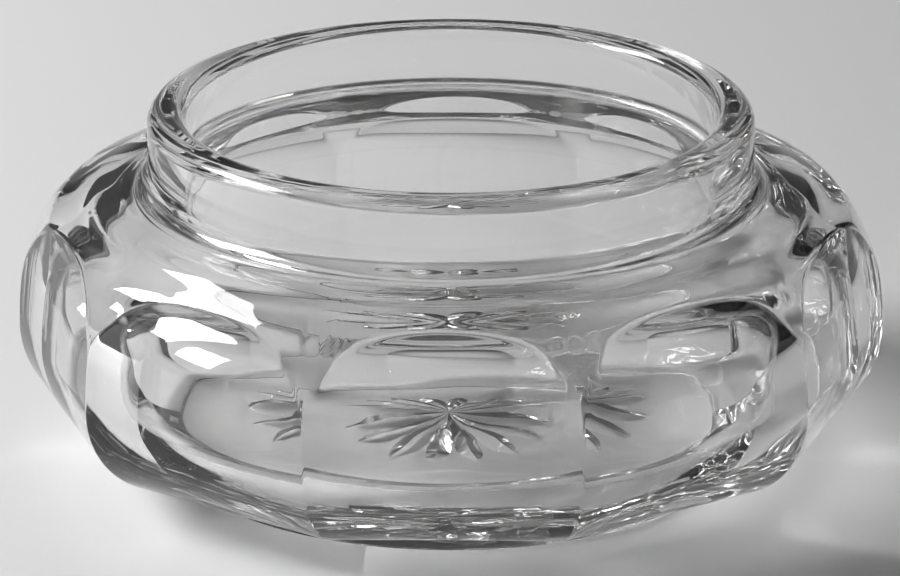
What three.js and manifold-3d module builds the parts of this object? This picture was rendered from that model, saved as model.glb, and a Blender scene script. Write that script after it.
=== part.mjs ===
// The bowl of a puff box: one piece of clear glass with a plain collar, a bulbous fluted body,
// a thick base with a star cut under it, and a round foot. Millimetres, +Z up.
// The origin is the centre of the foot's flat underside, and the middle of a flute faces -Y.

import * as THREE from 'three';
import { mergeVertices } from 'three/addons/utils/BufferGeometryUtils.js';
import Module from 'manifold-3d';

// Collar and mouth
const bowlHeight = 53;
const mouthDiameter = 76;
const collarWall = 5.6;
const rimOuterRound = 2.4;
const rimInnerRound = 2.2;
const collarFootHeight = 41.4;
const collarFootRound = 3;

// Outside of the blank, before the flutes are cut: the corners that its rounds are fitted into.
// The ledge runs almost level around the foot of the collar.
const ledgeDiameter = 100;
const ledgeHeight = 41.1;
const ledgeRound = 10;
const shoulderDiameter = 114.2;
const shoulderHeight = 38.5;
const shoulderRound = 7;
const bellyDiameter = 125.4;
const flankFootHeight = 29.1;
const bellyRound = 28;

// Flutes: straight across and bowed from top to bottom
const fluteCount = 10;
const acrossFlutesWidth = 119;
const fluteBow = 60;
const heelRound = 15;
const undersideSlope = THREE.MathUtils.degToRad(19);

// Foot: footHeight is how much of its round wall stands free under the middle of a flute
const footDiameter = 80.4;
const footHeight = 2.06;

// Inside: a flat floor, an oval heel, a side that bows and then leans in, and a sloping ceiling.
// neckWall is the glass straight down from the foot of the collar's outside.
const baseThickness = 10;
const sideWall = 4.5;
const innerHeelWidth = 13.6;
const innerHeelHeight = 8.5;
const sideBow = 42.6;
const sideLean = THREE.MathUtils.degToRad(10.7);
const innerShoulderRound = 12;
const neckWall = 4.5;
const ceilingFall = THREE.MathUtils.degToRad(17);
const neckRound = 2.3;

// Star of V grooves cut into the underside. A groove narrows over rayTipLength to its round tip,
// and inwards to rayRootShare of its full width at the star's centre. A larger fullness keeps it
// wide for longer.
const starRays = 16;
const starDiameter = 45.2;
const rayTipLength = 6.6;
const rayRootShare = 0.4;
const rayWidth = 5;
const rayDepth = 1.5;
const rayTipFullness = 2.6;
const rayRootFullness = 2;
const starTurn = THREE.MathUtils.degToRad(-7);

// Fineness of the facets, and how far a cutter passes the glass that it cuts
const stepsPerFlute = 10;
const facetSag = 0.03;
const heelSteps = 7;
const raySteps = 4;
const cutMargin = 5;

const collarRadius = mouthDiameter / 2 + collarWall;
const bellyRadius = bellyDiameter / 2;
const fluteApothem = acrossFlutesWidth / 2;
const footRadius = footDiameter / 2;
const stepsAround = fluteCount * stepsPerFlute;

// The underside climbs from the foot's wall to the heel, and the heel ends at the flutes' widest
const heelCentreRadius = fluteApothem - heelRound;
const heelStartRadius = heelCentreRadius + heelRound * Math.sin(undersideSlope);
const heelStartHeight = footHeight + (heelStartRadius - footRadius) * Math.tan(undersideSlope);
const fluteBellyHeight = heelStartHeight + heelRound * Math.cos(undersideSlope);

// The fluted body starts inside the foot, below where the ridges between flutes run into it
const ridgeInset = footRadius * (1 - Math.cos(Math.PI / fluteCount));
const bodyStart = (footHeight - ridgeInset * Math.tan(undersideSlope)) / 2;

const { Manifold, Mesh } = await loadSolids();

async function loadSolids() {
  const wasm = await Module();
  wasm.setup();
  return wasm;
}

// A closed geometry as a solid that can be joined and cut
function solidOf(geometry) {
  const bare = geometry.clone();
  bare.deleteAttribute('normal');
  bare.deleteAttribute('uv');
  const merged = mergeVertices(bare);
  const index = merged.index.array;
  const triangles = [];
  for (let i = 0; i < index.length; i += 3) {
    const [a, b, c] = index.slice(i, i + 3);
    if (a !== b && b !== c && c !== a) {
      triangles.push(a, b, c);
    }
  }
  return new Manifold(new Mesh({
    numProp: 3,
    vertProperties: new Float32Array(merged.attributes.position.array),
    triVerts: new Uint32Array(triangles),
  }));
}

function geometryOf(solid) {
  const mesh = solid.getMesh();
  const geometry = new THREE.BufferGeometry();
  geometry.setAttribute('position', new THREE.BufferAttribute(mesh.vertProperties, 3));
  geometry.setIndex(new THREE.BufferAttribute(mesh.triVerts, 1));
  geometry.computeVertexNormals();
  return geometry;
}

// Points along an arc, both ends included, close enough to stray from it by facetSag at most
function arc(centre, radius, from, turn) {
  const largestStep = 2 * Math.acos(1 - facetSag / radius);
  const steps = Math.ceil(Math.abs(turn) / largestStep);
  const points = [];
  for (let i = 0; i <= steps; i++) {
    const angle = from + (turn * i) / steps;
    points.push(new THREE.Vector2(Math.cos(angle), Math.sin(angle)).multiplyScalar(radius).add(centre));
  }
  return points;
}

// An outline from corners [x, y, radius], each rounded by an arc tangent to both of its sides.
// Where two rounds are too big for the side between them, both give way alike.
function roundedOutline(corners) {
  const at = corners.map(([x, y]) => new THREE.Vector2(x, y));
  const bends = corners.map(([, , radius = 0], i) => {
    if (radius === 0) {
      return { reach: 0 };
    }
    const back = at[i - 1].clone().sub(at[i]).normalize();
    const ahead = at[i + 1].clone().sub(at[i]).normalize();
    const halfAngle = Math.acos(back.dot(ahead)) / 2;
    return { back, ahead, halfAngle, reach: radius / Math.tan(halfAngle) };
  });
  const share = at.slice(1).map((point, i) => {
    const wanted = bends[i].reach + bends[i + 1].reach;
    return Math.min(1, point.distanceTo(at[i]) / Math.max(wanted, Number.EPSILON));
  });
  return bends.flatMap(({ back, ahead, halfAngle, reach }, i) => {
    if (reach === 0) {
      return [at[i]];
    }
    const used = reach * Math.min(share[i - 1], share[i]);
    const toCentre = back.clone().add(ahead).setLength(used / Math.cos(halfAngle));
    const centre = at[i].clone().add(toCentre);
    const from = at[i].clone().addScaledVector(back, used).sub(centre).angle();
    const turn = Math.sign(ahead.cross(back)) * (Math.PI - 2 * halfAngle);
    return arc(centre, used * Math.tan(halfAngle), from, turn);
  });
}

// A solid of revolution about Z, from an outline of (radius, height) that climbs the outside
function turned(outline) {
  const lathe = new THREE.LatheGeometry(outline, stepsAround);
  return solidOf(lathe.rotateX(Math.PI / 2));
}

// The glass as it leaves the mould: outside up to the rim, then down the inside to the floor
function blank() {
  const mouthRadius = mouthDiameter / 2;
  const innerRadius = fluteApothem - sideWall;
  const floorRadius = innerRadius - innerHeelWidth;
  const heelTop = baseThickness + innerHeelHeight;
  const bowCorner = heelTop + sideBow * Math.tan(sideLean / 2);
  const steepness = Math.tan(ceilingFall);
  const ceilingAt = (radius) => collarFootHeight - neckWall - (radius - collarRadius) * steepness;
  const leanRise = ceilingAt(innerRadius) - bowCorner;
  const leanLength = leanRise / (Math.cos(sideLean) - Math.sin(sideLean) * steepness);
  const shoulderCorner = innerRadius - leanLength * Math.sin(sideLean);
  const heel = new THREE.EllipseCurve(
    floorRadius, heelTop, innerHeelWidth, innerHeelHeight, 0, -Math.PI / 2, true,
  );
  const upper = roundedOutline([
    [0, bodyStart],
    [bellyRadius, bodyStart],
    [bellyRadius, flankFootHeight, bellyRound],
    [shoulderDiameter / 2, shoulderHeight, shoulderRound],
    [ledgeDiameter / 2, ledgeHeight, ledgeRound],
    [collarRadius, collarFootHeight, collarFootRound],
    [collarRadius, bowlHeight, rimOuterRound],
    [mouthRadius, bowlHeight, rimInnerRound],
    [mouthRadius, ceilingAt(mouthRadius), neckRound],
    [shoulderCorner, ceilingAt(shoulderCorner), innerShoulderRound],
    [innerRadius, bowCorner, sideBow],
    [innerRadius, heelTop],
  ]);
  const heelPoints = heel.getPoints(heelSteps).slice(1);
  return turned([...upper, ...heelPoints, new THREE.Vector2(0, baseThickness)]);
}

// What the flute that faces -Y takes off: all that lies outside its face, wide enough to reach
// past both neighbours, so that the ridges are where two faces meet
function fluteCutter() {
  const startRadius = heelStartRadius - heelStartHeight / Math.tan(undersideSlope);
  const bowCentre = new THREE.Vector2(fluteApothem - fluteBow, fluteBellyHeight);
  const bowTurn = Math.asin((collarFootHeight - fluteBellyHeight) / fluteBow);
  const heelCentre = new THREE.Vector2(heelCentreRadius, fluteBellyHeight);
  const heelFrom = undersideSlope - Math.PI / 2;
  const outside = bellyRadius + cutMargin;
  const face = new THREE.Shape([
    new THREE.Vector2(startRadius, 0),
    ...arc(heelCentre, heelRound, heelFrom, -heelFrom),
    ...arc(bowCentre, fluteBow, 0, bowTurn).slice(1),
    new THREE.Vector2(outside, collarFootHeight),
    new THREE.Vector2(outside, 0),
  ]);
  const width = 2 * outside;
  const slab = new THREE.ExtrudeGeometry(face, { depth: width, bevelEnabled: false });
  slab.translate(0, 0, -width / 2);
  slab.rotateX(Math.PI / 2);
  slab.rotateZ(-Math.PI / 2);
  return solidOf(slab);
}

// One V groove of the star: a spindle with four sides, from the star's centre to the groove's tip
function rayCutter() {
  const sides = 4;
  const middle = starDiameter / 2 - rayTipLength;
  const outline = [new THREE.Vector2(0, 0)];
  for (let i = 0; i <= raySteps; i++) {
    const inward = 1 - i / raySteps;
    const share = 1 - (1 - rayRootShare) * inward ** rayRootFullness;
    outline.push(new THREE.Vector2(share, middle * (1 - inward)));
  }
  for (let i = 1; i <= raySteps; i++) {
    const outward = i / raySteps;
    const share = 1 - outward ** rayTipFullness;
    outline.push(new THREE.Vector2(share, middle + rayTipLength * outward));
  }
  const spindle = new THREE.LatheGeometry(outline, sides);
  spindle.scale(rayWidth / 2, 1, rayDepth);
  return solidOf(spindle.rotateZ(-Math.PI / 2));
}

function aroundAxis(solid, count, turn = 0) {
  const degrees = THREE.MathUtils.radToDeg(turn);
  return Array.from({ length: count }, (_, i) => solid.rotate([0, 0, degrees + (360 * i) / count]));
}

function bowl() {
  const footDepth = (footHeight + baseThickness) / 2;
  const foot = new THREE.CylinderGeometry(footRadius, footRadius, footDepth, stepsAround);
  foot.rotateX(Math.PI / 2);
  foot.translate(0, 0, footDepth / 2);
  const fluted = blank().subtract(Manifold.union(aroundAxis(fluteCutter(), fluteCount)));
  const star = aroundAxis(rayCutter(), starRays, starTurn - Math.PI / 2);
  return fluted.add(solidOf(foot)).subtract(Manifold.union(star));
}

const clearGlass = new THREE.MeshStandardMaterial({
  color: 0xe8eeee,
  roughness: 0.04,
  metalness: 0,
  transparent: true,
  opacity: 0.35,
});

const puffBoxBowl = new THREE.Mesh(geometryOf(bowl()), clearGlass);
puffBoxBowl.name = 'bowl';

const puffBox = new THREE.Group();
puffBox.add(puffBoxBowl);

export default puffBox;
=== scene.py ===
# The open bowl of a clear glass puff box, standing on pale paper in a soft studio light.
# Metres, +Z up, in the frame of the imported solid: a flute faces -Y and the foot stands on z = 0.

import math

import bpy
import numpy as np
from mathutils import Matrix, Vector, noise


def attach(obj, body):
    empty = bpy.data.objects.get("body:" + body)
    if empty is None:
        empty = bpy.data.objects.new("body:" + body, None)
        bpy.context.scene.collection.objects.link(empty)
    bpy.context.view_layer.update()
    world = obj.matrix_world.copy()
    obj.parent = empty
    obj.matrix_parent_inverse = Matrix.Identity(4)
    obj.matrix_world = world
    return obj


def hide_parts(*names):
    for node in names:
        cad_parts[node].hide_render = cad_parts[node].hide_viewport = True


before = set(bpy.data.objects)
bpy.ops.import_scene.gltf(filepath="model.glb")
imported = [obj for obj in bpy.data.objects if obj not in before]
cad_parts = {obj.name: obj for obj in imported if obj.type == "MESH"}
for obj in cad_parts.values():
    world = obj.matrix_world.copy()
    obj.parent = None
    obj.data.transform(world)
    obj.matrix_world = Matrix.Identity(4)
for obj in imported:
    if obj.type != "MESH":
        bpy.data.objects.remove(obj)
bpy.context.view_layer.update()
scene = bpy.context.scene

# Camera
# The view looks down at the bowl from a little right of the front flute's middle. The aim point
# lies on the bowl's axis, about half way up.

MM = 0.001
CAMERA_AZIMUTH = math.radians(1.01)
CAMERA_ELEVATION = math.radians(19.31)
CAMERA_DISTANCE = 1040 * MM
CAMERA_LENS = 287.7
SENSOR_WIDTH = 36
NEAREST_SEEN = 50 * MM
AIM_HEIGHT = 25.1 * MM
AIM_LEFT = 0.12 * MM

camera = bpy.data.objects.new("camera", bpy.data.cameras.new("camera"))
scene.collection.objects.link(camera)
scene.camera = camera
camera.data.sensor_width = SENSOR_WIDTH
camera.data.lens = CAMERA_LENS
camera.data.clip_start = NEAREST_SEEN
aim = Vector((-AIM_LEFT, 0, AIM_HEIGHT))
towards_camera = Vector((
    math.sin(CAMERA_AZIMUTH) * math.cos(CAMERA_ELEVATION),
    -math.cos(CAMERA_AZIMUTH) * math.cos(CAMERA_ELEVATION),
    math.sin(CAMERA_ELEVATION),
))
camera.location = aim + towards_camera * CAMERA_DISTANCE
camera.rotation_mode = "QUATERNION"
camera.rotation_quaternion = (-towards_camera).to_track_quat("-Z", "Y")

# Paper under the bowl
# A wide sheet of matt white paper that scatters light evenly and has no shine. Its colour carries
# a
# painted light falloff: lighter on the left of the bowl, the lamp's side, than on the right. A
# hair of air stays between it and the glass.

PAPER_HALF = 1500 * MM
PAPER_DROP = 0.05 * MM
# Painted light: the paper's colour is lighter on the lamp's side and darker away from it
PAPER_LEFT_PAINTED_LIT = "#EEEEEE"
PAPER_RIGHT_PAINTED_DIM = "#E2E2E2"
# The painted light falloff runs between this far to the left and to the right of the bowl's axis
PAINTED_FALLOFF_REACH = 80 * MM
PAPER_ROUGHNESS = 0.9


def linear(code):
    """The linear colour of an sRGB hex value, with alpha 1."""
    parts = [int(code[i : i + 2], 16) / 255 for i in (1, 3, 5)]
    return [p / 12.92 if p <= 0.04045 else ((p + 0.055) / 1.055) ** 2.4 for p in parts] + [1.0]


def add_node(tree, kind, links=(), **settings):
    """Adds a node, sets its inputs or its own values by name, and links (output, input) pairs."""
    node = tree.nodes.new(kind)
    for name, value in settings.items():
        title = name.replace("_", " ").title().replace("Ior", "IOR")
        if title in node.inputs:
            node.inputs[title].default_value = value
        else:
            setattr(node, name, value)
    for output, name in links:
        tree.links.new(output, node.inputs[name])
    return node


def new_material(name):
    """An empty node material, and its tree and output node."""
    material = bpy.data.materials.new(name)
    material.use_nodes = True
    tree = material.node_tree
    tree.nodes.clear()
    return material, tree, tree.nodes.new("ShaderNodeOutputMaterial")


def new_object(name, vertices, faces, material):
    """A mesh object of one material, in the scene."""
    mesh = bpy.data.meshes.new(name)
    mesh.from_pydata(vertices, [], faces)
    mesh.validate()
    mesh.materials.append(material)
    made = bpy.data.objects.new(name, mesh)
    scene.collection.objects.link(made)
    return made


paper, tree, output = new_material("matt_paper")
place = add_node(tree, "ShaderNodeTexCoord")
split = add_node(tree, "ShaderNodeSeparateXYZ", [(place.outputs["Object"], 0)])
# Painted light falloff: the paper's colour goes from the lighter left to the darker right
across = add_node(tree, "ShaderNodeMapRange", [(split.outputs["X"], "Value")],
                  from_min=-PAINTED_FALLOFF_REACH, from_max=PAINTED_FALLOFF_REACH)
# A mix node keeps its colours behind its numbers and vectors, as inputs 6 and 7 and output 2
painted_falloff = add_node(tree, "ShaderNodeMix", [(across.outputs[0], "Factor")], data_type="RGBA")
painted_falloff.inputs[6].default_value = linear(PAPER_LEFT_PAINTED_LIT)
painted_falloff.inputs[7].default_value = linear(PAPER_RIGHT_PAINTED_DIM)
shader = add_node(tree, "ShaderNodeBsdfPrincipled", [(painted_falloff.outputs[2], "Base Color")],
                  roughness=PAPER_ROUGHNESS)
tree.links.new(shader.outputs[0], output.inputs["Surface"])
corners = [(-1, -1), (1, -1), (1, 1), (-1, 1)]
floor = new_object("paper", [(x * PAPER_HALF, y * PAPER_HALF, -PAPER_DROP) for x, y in corners],
                   [(0, 1, 2, 3)], paper)

# Lamps and surroundings
# One big soft lamp stands high on the left. The rest of the light comes from the room: grey, with
# a pale wall straight behind the bowl, a white reflector high behind it on the left, and a dark
# corner behind it on the right, which the edges of the glass show as black lines.

# The lamp's power in watts, and its distance and size in metres
LAMP_POWER = 17
LAMP_AWAY = 1.2
LAMP_AZIMUTH = math.radians(-93)
LAMP_ELEVATION = math.radians(36)
LAMP_SIZE = (0.72, 0.41)
ROOM_LEVEL = 0.06
# Zones: azimuth to the right from straight behind, elevation, the half angles within which the
# zone is full and beyond which it has faded out, and its level
PALE_WALL = (0, 0, 6, 18, 0.5)
REFLECTOR = (-42, 44, 12, 22, 0.55)
DARK_CORNER = (52, 14, 26, 36, 0.005)

lamp = bpy.data.objects.new("softbox", bpy.data.lights.new("softbox", "AREA"))
scene.collection.objects.link(lamp)
lamp.data.shape = "RECTANGLE"
lamp.data.size, lamp.data.size_y = LAMP_SIZE
lamp.data.energy = LAMP_POWER
towards_lamp = Vector((
    math.sin(LAMP_AZIMUTH) * math.cos(LAMP_ELEVATION),
    -math.cos(LAMP_AZIMUTH) * math.cos(LAMP_ELEVATION),
    math.sin(LAMP_ELEVATION),
))
lamp.location = aim + towards_lamp * LAMP_AWAY
lamp.rotation_mode = "QUATERNION"
lamp.rotation_quaternion = (-towards_lamp).to_track_quat("-Z", "Y")

world = bpy.data.worlds.new("room")
scene.world = world
world.use_nodes = True
tree = world.node_tree
tree.nodes.clear()
output = tree.nodes.new("ShaderNodeOutputWorld")
sight = add_node(tree, "ShaderNodeTexCoord")
level = add_node(tree, "ShaderNodeValue")
level.outputs[0].default_value = ROOM_LEVEL
for azimuth, elevation, full, outer, zone_level in (PALE_WALL, REFLECTOR, DARK_CORNER):
    flat = math.cos(math.radians(elevation))
    towards = (math.sin(math.radians(azimuth)) * flat, math.cos(math.radians(azimuth)) * flat,
               math.sin(math.radians(elevation)))
    facing = add_node(tree, "ShaderNodeVectorMath", [(sight.outputs["Generated"], 0)],
                      operation="DOT_PRODUCT")
    facing.inputs[1].default_value = towards
    share = add_node(tree, "ShaderNodeMapRange", [(facing.outputs["Value"], "Value")],
                     from_min=math.cos(math.radians(outer)),
                     from_max=math.cos(math.radians(full)), interpolation_type="SMOOTHSTEP")
    level = add_node(tree, "ShaderNodeMix", [(share.outputs[0], "Factor"),
                                             (level.outputs[0], "A")], b=zone_level)
room = add_node(tree, "ShaderNodeBackground", [(level.outputs[0], "Strength")],
                color=(1, 1, 1, 1))
tree.links.new(room.outputs[0], output.inputs["Surface"])

# Glass bowl
# One piece of clear soda glass, pressed as a round blank with a collar, then cut: ten flutes
# around the body and a star under the base, all polished again. It stands on its round foot.

# Collar and mouth. The collar's wall ends just short of where the round of the rim begins.
HEIGHT = 53 * MM
MOUTH_RADIUS = 38 * MM
COLLAR_WALL = 5.6 * MM
RIM_OUTER_ROUND = 2.4 * MM
RIM_INNER_ROUND = 2.2 * MM
COLLAR_TOP = HEIGHT - RIM_OUTER_ROUND * 1.01
COLLAR_FOOT_HEIGHT = 41.4 * MM
COLLAR_FOOT_ROUND = 3 * MM
# Outside of the blank: the corners that its rounds are fitted into, with an almost level ledge
# around the foot of the collar
LEDGE_RADIUS = 50 * MM
LEDGE_HEIGHT = 41.1 * MM
LEDGE_ROUND = 10 * MM
SHOULDER_RADIUS = 57.1 * MM
SHOULDER_HEIGHT = 38.5 * MM
SHOULDER_ROUND = 7 * MM
BELLY_RADIUS = 62.7 * MM
FLANK_FOOT_HEIGHT = 29.1 * MM
BELLY_ROUND = 28 * MM
# Flutes, straight across and bowed from top to bottom. They are cut by hand, so the bow of each
# differs a little from the next. The first faces the front and the rest follow to the right.
FLUTES = 10
FLUTE_APOTHEM = 59.5 * MM
FLUTE_BOWS = np.array([61, 57, 56, 58, 60, 57, 61, 60, 70, 70]) * MM
HEEL_ROUND = 15 * MM
UNDERSIDE_SLOPE = math.radians(19)
ARCH_HALF_BEVEL = 0.6 * MM
RIDGE_HALF_BEVEL = 0.2 * MM
# Foot: FOOT_HEIGHT is how much of its round wall stands free under the middle of a flute
FOOT_RADIUS = 40.2 * MM
FOOT_HEIGHT = 2.06 * MM
FOOT_SOFTNESS = 0.5 * MM
FOOT_EDGE_ROUND = 0.45 * MM
# Inside: a flat floor, an oval heel, a side of three bows that run into each other, a sloping
# ceiling and a round neck. A turn is the angle at which one bow ends and the next begins.
BASE_THICKNESS = 10.04 * MM
FLOOR_RADIUS = 41.4 * MM
INNER_BELLY_RADIUS = 54.97 * MM
INNER_BELLY_HEIGHT = 18.54 * MM
SIDE_BOW = 42.6 * MM
SIDE_TURN = math.radians(10.67)
SHOULDER_BOW = 14.15 * MM
SHOULDER_TURN = math.radians(37.06)
CROWN_BOW = 10.52 * MM
CEILING_FALL = math.radians(17)
NECK_ROUND = 2.3 * MM
# The turned plunger of the mould leaves faint rings inside: how far apart they lie, how long one
# runs before it fades, and how high it stands
RING_PITCH = 2.6 * MM
RING_LENGTH = 18 * MM
RING_HEIGHT = 0.07 * MM
# Star of V grooves. A groove narrows over its tip and, inwards, to a share of its full width at
# the star's centre. A larger fullness keeps it wide for longer.
STAR_RAYS = 16
STAR_RADIUS = 22.6 * MM
RAY_TIP_LENGTH = 6.6 * MM
RAY_TIP_FULLNESS = 2.6
RAY_ROOT_SHARE = 0.4
RAY_ROOT_FULLNESS = 2
RAY_WIDTH = 5 * MM
RAY_DEPTH = 1.5 * MM
STAR_TURN = math.radians(-7)

# Fineness of the mesh. Columns crowd towards the ridges, and rows towards the foot's edge, the
# edge of each arch and the collar's fillet.
RIDGE_STEPS = np.array([0, 0.13, 0.27, 0.42, 0.6, 0.82, 1.1]) * MM
HALF_FLUTE_STEPS = 15
FOOT_LEVELS = np.array([0.45, 0.8, 1.1, 1.25, 1.35, 1.45, 1.55, 1.65, 1.75, 1.85, 1.95, 2.05, 2.2,
                        2.4, 2.7, 3.2, 3.9, 4.6]) * MM
HEEL_ROWS = 18
PANEL_FOOT = 22.5 * MM
PANEL_ROWS = 6
ARCH_STEPS = np.array([1.7, 1.3, 0.95, 0.65, 0.4, 0.18]) * MM
SHOULDER_ROWS = 18
FILLET_LEAD = 4 * MM
COLLAR_ROWS = 26
LEAST_ARC_POINTS = 3
OUTLINE_STEP = math.radians(2)
NECK_STEP = math.radians(7.5)
FOOT_EDGE_STEP = math.radians(12)
CEILING_STEP = 0.5 * MM
BOW_ROWS = 12
SIDE_ROWS = 10
INNER_HEEL_ROWS = 16
FLOOR_ROWS = 6
STAR_ROWS = 44
# From the middle of a groove to the middle of the land beside it, with the edge between them kept
# between these shares of the way
GROOVE_COLUMNS = 7
LAND_COLUMNS = 4
LEAST_GROOVE_SHARE = 0.25
MOST_GROOVE_SHARE = 0.96
# The innermost rings of the floor and of the star, which are closed to their centres, and how far
# outside the star the two rings around it lie
FLOOR_CENTRE = 1 * MM
STAR_CENTRE = 0.4 * MM
STAR_MARGIN = 0.6 * MM
FOOT_RING_MARGIN = 2 * MM
# Fineness of the search for the cut surface and for the edges of the arches
SEARCH_STEPS = 12
SEARCH_REACH = 0.01 * MM
LEAST_CHANGE = 0.2
SLOPE_REACH = 0.05 * MM
LEAST_ARCH_TURN = 0.1
ARCH_LOWEST = 22 * MM
ARCH_HIGHEST = 41 * MM
ARCH_HALVINGS = 40

COLLAR_RADIUS = MOUTH_RADIUS + COLLAR_WALL
SECTOR = 2 * math.pi / FLUTES
HEEL_CENTRE_RADIUS = FLUTE_APOTHEM - HEEL_ROUND
HEEL_START_RADIUS = HEEL_CENTRE_RADIUS + HEEL_ROUND * math.sin(UNDERSIDE_SLOPE)
HEEL_START_HEIGHT = FOOT_HEIGHT + (HEEL_START_RADIUS - FOOT_RADIUS) * math.tan(UNDERSIDE_SLOPE)
FLUTE_BELLY_HEIGHT = HEEL_START_HEIGHT + HEEL_ROUND * math.cos(UNDERSIDE_SLOPE)


def rounded_outline(corners, step=OUTLINE_STEP):
    """Points of an outline whose corners (radius, height, round) are rounded by tangent arcs."""
    at = [np.array(c[:2], float) for c in corners]
    points = []
    for i, corner in enumerate(corners):
        if len(corner) < 3:
            points.append(at[i])
            continue
        back = (at[i - 1] - at[i]) / np.linalg.norm(at[i - 1] - at[i])
        ahead = (at[i + 1] - at[i]) / np.linalg.norm(at[i + 1] - at[i])
        half = math.acos(back @ ahead) / 2
        reach = corner[2] / math.tan(half)
        middle = (back + ahead) / np.linalg.norm(back + ahead)
        centre = at[i] + middle * reach / math.cos(half)
        start = at[i] + back * reach - centre
        turn = math.copysign(math.pi - 2 * half, ahead[0] * back[1] - ahead[1] * back[0])
        points_here = max(LEAST_ARC_POINTS, int(abs(turn) / step))
        angles = math.atan2(start[1], start[0]) + np.linspace(0, turn, points_here)
        points += list(centre + corner[2] * np.stack([np.cos(angles), np.sin(angles)], 1))
    return np.array(points)


outside = rounded_outline([
    (BELLY_RADIUS, 0),
    (BELLY_RADIUS, FLANK_FOOT_HEIGHT, BELLY_ROUND),
    (SHOULDER_RADIUS, SHOULDER_HEIGHT, SHOULDER_ROUND),
    (LEDGE_RADIUS, LEDGE_HEIGHT, LEDGE_ROUND),
    (COLLAR_RADIUS, COLLAR_FOOT_HEIGHT, COLLAR_FOOT_ROUND),
    (COLLAR_RADIUS, COLLAR_TOP),
])
outside_length = np.concatenate([[0], np.cumsum(np.linalg.norm(np.diff(outside, axis=0), axis=1))])


def along(angle):
    """The unit vector (outwards, up) at an angle above level."""
    return np.array([math.cos(angle), math.sin(angle)])


def swept(centre, radius, start, end, count):
    """Points (radius, height) along an arc of the section."""
    return [centre + radius * along(a) for a in np.linspace(start, end, count)]


ceiling_turn = math.pi / 2 - CEILING_FALL
side_centre = np.array([INNER_BELLY_RADIUS - SIDE_BOW, INNER_BELLY_HEIGHT])
shoulder_centre = side_centre + (SIDE_BOW - SHOULDER_BOW) * along(SIDE_TURN)
crown_centre = shoulder_centre + (SHOULDER_BOW - CROWN_BOW) * along(SHOULDER_TURN)
ceiling_edge = crown_centre + CROWN_BOW * along(ceiling_turn)
neck_corner = ceiling_edge[1] + (ceiling_edge[0] - MOUTH_RADIUS) * math.tan(CEILING_FALL)
heel_width = INNER_BELLY_RADIUS - FLOOR_RADIUS
heel_height = INNER_BELLY_HEIGHT - BASE_THICKNESS
neck_start = neck_corner + NECK_ROUND * math.tan((math.pi / 2 - CEILING_FALL) / 2)
neck = rounded_outline([
    (COLLAR_RADIUS, COLLAR_TOP),
    (COLLAR_RADIUS, HEIGHT, RIM_OUTER_ROUND),
    (MOUTH_RADIUS, HEIGHT, RIM_INNER_ROUND),
    (MOUTH_RADIUS, neck_corner, NECK_ROUND),
    tuple(ceiling_edge),
], step=NECK_STEP)
ceiling_steps = int(np.linalg.norm(neck[-1] - neck[-2]) / CEILING_STEP)
inside = np.concatenate([
    neck[:-1],
    [neck[-2] + share * (neck[-1] - neck[-2]) for share in np.linspace(0, 1, ceiling_steps)[1:-1]],
    swept(crown_centre, CROWN_BOW, ceiling_turn, SHOULDER_TURN, BOW_ROWS),
    swept(shoulder_centre, SHOULDER_BOW, SHOULDER_TURN, SIDE_TURN, BOW_ROWS)[1:],
    swept(side_centre, SIDE_BOW, SIDE_TURN, 0, SIDE_ROWS)[1:],
    [(FLOOR_RADIUS + heel_width * c, INNER_BELLY_HEIGHT + heel_height * s)
     for c, s in (along(a) for a in np.linspace(0, -math.pi / 2, INNER_HEEL_ROWS)[1:])],
    [(r, BASE_THICKNESS) for r in np.linspace(FLOOR_RADIUS, FLOOR_CENTRE, FLOOR_ROWS)[1:]],
])


def blank_radius(height):
    """Radius of the blank before the flutes are cut, at a height."""
    return np.interp(height, outside[:, 1], outside[:, 0])


def flute_face(height, bow_radius):
    """Distance of a flute's face from the axis, and the tilt of its normal, at a height."""
    bow = np.clip((height - FLUTE_BELLY_HEIGHT) / bow_radius, -1, 1)
    heel = np.clip((height - FLUTE_BELLY_HEIGHT) / HEEL_ROUND, -1, 1)
    upper = FLUTE_APOTHEM - bow_radius * (1 - np.sqrt(1 - bow**2))
    lower = FLUTE_APOTHEM - HEEL_ROUND * (1 - np.sqrt(1 - heel**2))
    under = HEEL_START_RADIUS - (HEEL_START_HEIGHT - height) / math.tan(UNDERSIDE_SLOPE)
    radius = np.where(height > FLUTE_BELLY_HEIGHT, upper,
                      np.where(height > HEEL_START_HEIGHT, lower, under))
    tilt = np.where(height > FLUTE_BELLY_HEIGHT, np.arcsin(bow),
                    np.where(height > HEEL_START_HEIGHT, np.arcsin(heel),
                             UNDERSIDE_SLOPE - math.pi / 2))
    return radius, tilt


def normal_at(turn, tilt):
    """The unit normal of a surface turned around the axis and tilted upwards."""
    return np.stack(np.broadcast_arrays(np.cos(turn) * np.cos(tilt), np.sin(turn) * np.cos(tilt),
                                        np.sin(tilt)))


def soft_max(a, b, width):
    """The larger of two values, rounded off where they differ by less than the width."""
    h = np.clip(width - np.abs(a - b), 0, None) / width
    return np.maximum(a, b) + h * h * width / 4


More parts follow.
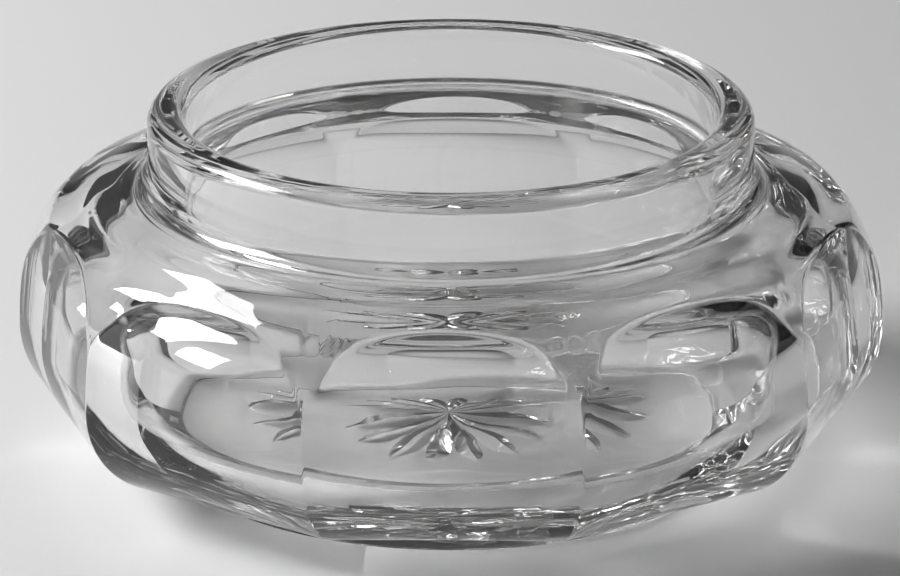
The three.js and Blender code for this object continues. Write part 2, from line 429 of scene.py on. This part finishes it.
def outer_radius(angle, height, own_bow, side_bow):
    """Radius of the cut glass at an angle from a flute's middle and a height, edges softened."""
    blank = blank_radius(height)
    change = blank_radius(height + SLOPE_REACH) - blank_radius(height - SLOPE_REACH)
    slope = np.arctan(-change / (2 * SLOPE_REACH))
    near = np.abs(angle)
    face, tilt = flute_face(height, own_bow)
    side, side_tilt = flute_face(height, side_bow)
    face_normal = normal_at(near, tilt)
    ridge_width = RIDGE_HALF_BEVEL * np.linalg.norm(
        face_normal - normal_at(near - SECTOR, side_tilt), axis=0)
    arch_width = ARCH_HALF_BEVEL * np.maximum(
        np.linalg.norm(face_normal - normal_at(0, slope), axis=0), LEAST_ARCH_TURN)
    radius = np.minimum(blank, face / np.cos(angle))

    def outside_by(r):
        glass = soft_max((r * np.cos(near) - face) * np.cos(tilt),
                         (r * np.cos(SECTOR - near) - side) * np.cos(side_tilt), ridge_width)
        glass = soft_max(glass, (r - blank) * np.cos(slope), arch_width)
        return -soft_max(-glass, -(r - FOOT_RADIUS), FOOT_SOFTNESS)

    for _ in range(SEARCH_STEPS):
        value = outside_by(radius)
        growth = (outside_by(radius + SEARCH_REACH) - value) / SEARCH_REACH
        radius = radius - value / np.maximum(growth, LEAST_CHANGE)
    return radius


# Columns: each half flute runs from its ridge to its middle
ridge_angles = RIDGE_STEPS / BELLY_RADIUS
rest = np.linspace(ridge_angles[-1], SECTOR / 2, HALF_FLUTE_STEPS)[1:]
half_columns = np.concatenate([ridge_angles, rest])
sector_columns = np.concatenate([half_columns, SECTOR - half_columns[-2:0:-1]]) - SECTOR / 2
columns = np.concatenate([sector_columns + i * SECTOR for i in range(FLUTES)])
from_flute = np.tile(sector_columns, FLUTES)
flute_number = np.repeat(np.arange(FLUTES), len(sector_columns))
own_bow = FLUTE_BOWS[flute_number]
side_bow = FLUTE_BOWS[(flute_number + np.where(from_flute > 0, 1, -1)) % FLUTES]

# The height at which each column crosses the edge of its arch
low = np.full(columns.shape, ARCH_LOWEST)
high = np.full(columns.shape, ARCH_HIGHEST)
for _ in range(ARCH_HALVINGS):
    middle = (low + high) / 2
    ridge_side = blank_radius(middle) > flute_face(middle, own_bow)[0] / np.cos(from_flute)
    low = np.where(ridge_side, middle, low)
    high = np.where(ridge_side, high, middle)
arch = (low + high) / 2

# Rows from the foot to the top of the collar
rows = [np.full(columns.shape, level) for level in FOOT_LEVELS]
heel_angles = np.linspace(UNDERSIDE_SLOPE - math.pi / 2, 0, HEEL_ROWS)
rows += [np.full(columns.shape, FLUTE_BELLY_HEIGHT + HEEL_ROUND * math.sin(a))
         for a in heel_angles]
for share in np.linspace(0, 1, PANEL_ROWS)[:-1]:
    rows.append(PANEL_FOOT + share * (arch - ARCH_STEPS[0] - PANEL_FOOT))
rows += [arch - step for step in ARCH_STEPS]
arch_length = np.interp(arch, outside[:, 1], outside_length)
rows.append(arch)
rows += [np.interp(arch_length + step, outside_length, outside[:, 1]) for step in ARCH_STEPS[::-1]]
fillet_start = np.interp(COLLAR_FOOT_HEIGHT, outside[:, 1], outside_length) - FILLET_LEAD
for share in np.linspace(0, 1, SHOULDER_ROWS)[1:]:
    length = arch_length + ARCH_STEPS[0] + share * (fillet_start - arch_length - ARCH_STEPS[0])
    rows.append(np.interp(length, outside_length, outside[:, 1]))
for length in np.linspace(fillet_start, outside_length[-1], COLLAR_ROWS)[1:-1]:
    rows.append(np.full(columns.shape, np.interp(length, outside_length, outside[:, 1])))
heights = np.array(rows)
radii = outer_radius(from_flute, heights, own_bow, side_bow)

foot_edge = rounded_outline([
    (STAR_RADIUS + FOOT_RING_MARGIN, 0),
    (FOOT_RADIUS, 0, FOOT_EDGE_ROUND),
    (FOOT_RADIUS, FOOT_EDGE_ROUND * 1.02),
], step=FOOT_EDGE_STEP)[:-1]


def turned(outline):
    """The radii and the heights of an outline, repeated for every column."""
    return [np.tile(outline[:, i : i + 1], (1, len(columns))) for i in (0, 1)]


low_radii, low_heights = turned(foot_edge)
top_radii, top_heights = turned(inside)
radii = np.concatenate([low_radii, radii, top_radii])
heights = np.concatenate([low_heights, heights, top_heights])

# The mould's rings push the inside in and out, square to the section, and fade out at the neck
inside_length = np.concatenate([[0], np.cumsum(np.linalg.norm(np.diff(inside, axis=0), axis=1))])
way = np.gradient(inside, inside_length, axis=0)
for j, (radius, length, (run, rise)) in enumerate(zip(inside[:, 0], inside_length, way)):
    size = RING_HEIGHT * float(np.clip((neck_start - inside[j, 1]) / RING_PITCH, 0, 1))
    waves = np.array([noise.noise((radius * math.sin(a) / RING_LENGTH,
                                   radius * math.cos(a) / RING_LENGTH, length / RING_PITCH))
                      for a in columns])
    radii[j - len(inside)] += size * waves * rise
    heights[j - len(inside)] -= size * waves * run

grid = np.stack([radii * np.sin(columns), -radii * np.cos(columns), heights], 2)
count = len(columns)
vertices = [tuple(p) for p in grid.reshape(-1, 3)]
faces = []
for j in range(len(grid) - 1):
    for i in range(count):
        k = (i + 1) % count
        faces.append((j * count + i, j * count + k, (j + 1) * count + k, (j + 1) * count + i))


def close_ring(ring, centre, upwards):
    """Joins a ring of vertices to a point at its centre."""
    vertices.append(centre)
    hub = len(vertices) - 1
    for i, here in enumerate(ring):
        there = ring[(i + 1) % len(ring)]
        faces.append((here, there, hub) if upwards else (there, here, hub))


def bridge(outer, outer_angles, inner, inner_angles):
    """Joins two rings of different counts on the underside, both given in order of angle."""
    i = j = 0
    while i < len(outer) or j < len(inner):
        next_outer = outer_angles[i + 1] if i + 1 < len(outer) else outer_angles[0] + 2 * math.pi
        next_inner = inner_angles[j + 1] if j + 1 < len(inner) else inner_angles[0] + 2 * math.pi
        a, b = outer[i % len(outer)], inner[j % len(inner)]
        if j >= len(inner) or (i < len(outer) and next_outer <= next_inner):
            faces.append((outer[(i + 1) % len(outer)], a, b))
            i += 1
        else:
            faces.append((a, b, inner[(j + 1) % len(inner)]))
            j += 1


# The star: its columns follow the edges of the grooves, and its rows are rings
star_half = math.pi / STAR_RAYS
ray_middle = STAR_RADIUS - RAY_TIP_LENGTH


def ray_size(radius):
    """Half width and depth of a groove at a radius: a wheel cut with a round tip."""
    inward = np.clip((ray_middle - radius) / ray_middle, 0, 1)
    outward = np.clip((radius - ray_middle) / RAY_TIP_LENGTH, 0, 1)
    share = 1 - (1 - RAY_ROOT_SHARE) * inward**RAY_ROOT_FULLNESS - outward**RAY_TIP_FULLNESS
    return share * RAY_WIDTH / 2, share * RAY_DEPTH


star_rings = np.concatenate([np.linspace(STAR_CENTRE, STAR_RADIUS, STAR_ROWS),
                             [STAR_RADIUS + STAR_MARGIN]])
groove_shares = np.linspace(0, 1, GROOVE_COLUMNS)
land_shares = np.linspace(0, 1, LAND_COLUMNS)[1:]
star_angles = []
star_ids = []
for radius in star_rings[::-1]:
    half_width, depth = ray_size(radius)
    edge = min(max(half_width / radius, LEAST_GROOVE_SHARE * star_half),
               MOST_GROOVE_SHARE * star_half)
    half = np.concatenate([groove_shares * edge, edge + land_shares * (star_half - edge)])
    sector = np.concatenate([-half[:0:-1], half[:-1]])
    angles = (np.arange(STAR_RAYS)[:, None] * 2 * star_half + sector[None, :]).ravel() + STAR_TURN
    away = np.tile(np.abs(sector), STAR_RAYS) * radius
    slope = depth / max(half_width, 1e-9)
    deep = np.clip(depth - away * slope, 0, None) if half_width > 0 else np.zeros(away.shape)
    ids = []
    for angle, z in zip(angles, deep):
        vertices.append((radius * math.sin(angle), -radius * math.cos(angle), z))
        ids.append(len(vertices) - 1)
    star_ids.append(ids)
    star_angles.append(angles)
for outer, inner in zip(star_ids, star_ids[1:]):
    for i in range(len(outer)):
        k = (i + 1) % len(outer)
        faces.append((outer[k], outer[i], inner[i], inner[k]))
close_ring(star_ids[-1], (0, 0, vertices[star_ids[-1][0]][2]), False)

# The underside between the star and the foot's edge, and the middle of the floor inside
turn = star_angles[0]
first = int(np.argmin(np.abs(turn - columns[0])))
star_order = list(range(first, len(turn))) + list(range(first))
star_turned = [turn[i] + (2 * math.pi if i < first else 0) for i in star_order]
bridge(list(range(count)), list(columns), [star_ids[0][i] for i in star_order], star_turned)
last = (len(grid) - 1) * count
close_ring(list(range(last, last + count)), (0, 0, BASE_THICKNESS), True)

# Clear glass: nothing of its own to see but edges, reflections and what lies behind, bent. The
# fire polish leaves a faint ripple, about 15 mm from crest to crest. Light dims a little on a
# long way through the glass, so the thick base and the shoulder look greyer than the collar.
GLASS_TINT = "#FDFDFD"
GLASS_IOR = 1.52
DIMMING_PER_METRE = 5
RIPPLE = 15 * MM
RIPPLE_HEIGHT = 0.2 * MM
RIPPLE_STRENGTH = 0.4
CRISP_FROM = math.radians(20)

clear_glass, tree, output = new_material("fire_polished_soda_glass")
place = add_node(tree, "ShaderNodeTexCoord")
ripple = add_node(tree, "ShaderNodeTexNoise", [(place.outputs["Object"], "Vector")],
                  scale=1 / RIPPLE, detail=1.0)
wave = add_node(tree, "ShaderNodeBump", [(ripple.outputs[0], "Height")],
                strength=RIPPLE_STRENGTH, distance=RIPPLE_HEIGHT)
shader = add_node(tree, "ShaderNodeBsdfPrincipled", [(wave.outputs[0], "Normal")],
                  base_color=linear(GLASS_TINT), roughness=0.0, ior=GLASS_IOR,
                  transmission_weight=1.0)
dimming = add_node(tree, "ShaderNodeVolumeAbsorption", color=(0, 0, 0, 1),
                   density=DIMMING_PER_METRE)
tree.links.new(dimming.outputs[0], output.inputs["Volume"])
tree.links.new(shader.outputs[0], output.inputs["Surface"])
bowl = new_object("glass_bowl", vertices, faces, clear_glass)
for polygon in bowl.data.polygons:
    polygon.use_smooth = True
# The grooves of the star keep their crisp edges; everything else is rounded
bowl.data.set_sharp_from_angle(angle=CRISP_FROM)
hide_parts("bowl")
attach(bowl, "root")

# Thick glass needs many bounces, and the light that it gathers on the paper stays sharp
BOUNCES = 24
GLOSSY_BOUNCES = 16

scene.view_settings.view_transform = "Standard"
scene.cycles.blur_glossy = 0
scene.cycles.sample_clamp_indirect = 0
scene.cycles.max_bounces = BOUNCES
scene.cycles.transmission_bounces = BOUNCES
scene.cycles.glossy_bounces = GLOSSY_BOUNCES
